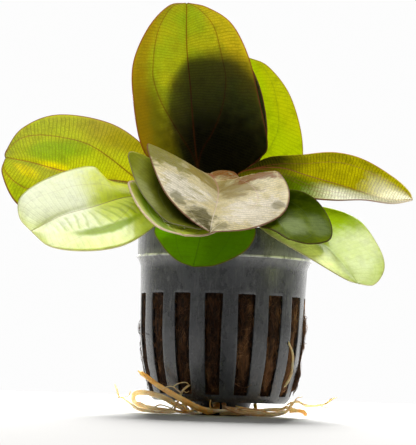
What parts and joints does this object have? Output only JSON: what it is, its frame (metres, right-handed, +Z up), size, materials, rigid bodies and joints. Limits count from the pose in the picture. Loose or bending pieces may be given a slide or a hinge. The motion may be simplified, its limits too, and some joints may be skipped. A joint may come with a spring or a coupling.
{
  "type": "aquarium plant in net pot",
  "caption": "Rosette of broad oval leaves on short stalks, growing from a coir plug in a round slotted dark plastic net pot, with pale roots out under the base.",
  "frame": {"origin": "centre of the pot's foot, on the surface it stands on", "axes": "+Z up along the pot's axis; -Y is the front, over which the lowest leaf hangs"},
  "size_m": [0.1227, 0.067, 0.1253],
  "materials": {
    "pot_plastic": "satin dark grey moulded plastic, water stained",
    "coir": "wet brown coconut fibre, matted",
    "crown": "pale green living rootstock",
    "leaf": "living leaf, waxy gloss, lets light through",
    "root_orange": "living root, tan to orange",
    "root_pale": "living root, cream",
    "root_brown": "living root, brown"
  },
  "bodies": {
    "root": {"pot": "pot_plastic", "growing_medium": "coir", "crown": "crown", "leaf_back_tall": "leaf", "leaf_back_shaded": "leaf", "leaf_back_right": "leaf", "leaf_left_upper": "leaf", "leaf_left_lower": "leaf", "leaf_front_left_inner": "leaf", "leaf_front_left_outer": "leaf", "leaf_front_curled": "leaf", "leaf_front_low": "leaf", "leaf_right_folded": "leaf", "leaf_right_front": "leaf", "leaf_right_low": "leaf", "root_thick_left": "root_orange", "root_pale_loop": "root_pale", "root_thin_left": "root_pale", "root_lateral_up": "root_pale", "root_pale_right": "root_pale", "root_brown_front": "root_brown", "root_fork_right": "root_orange", "root_upper_strand": "root_orange"}
  },
  "joints": []
}
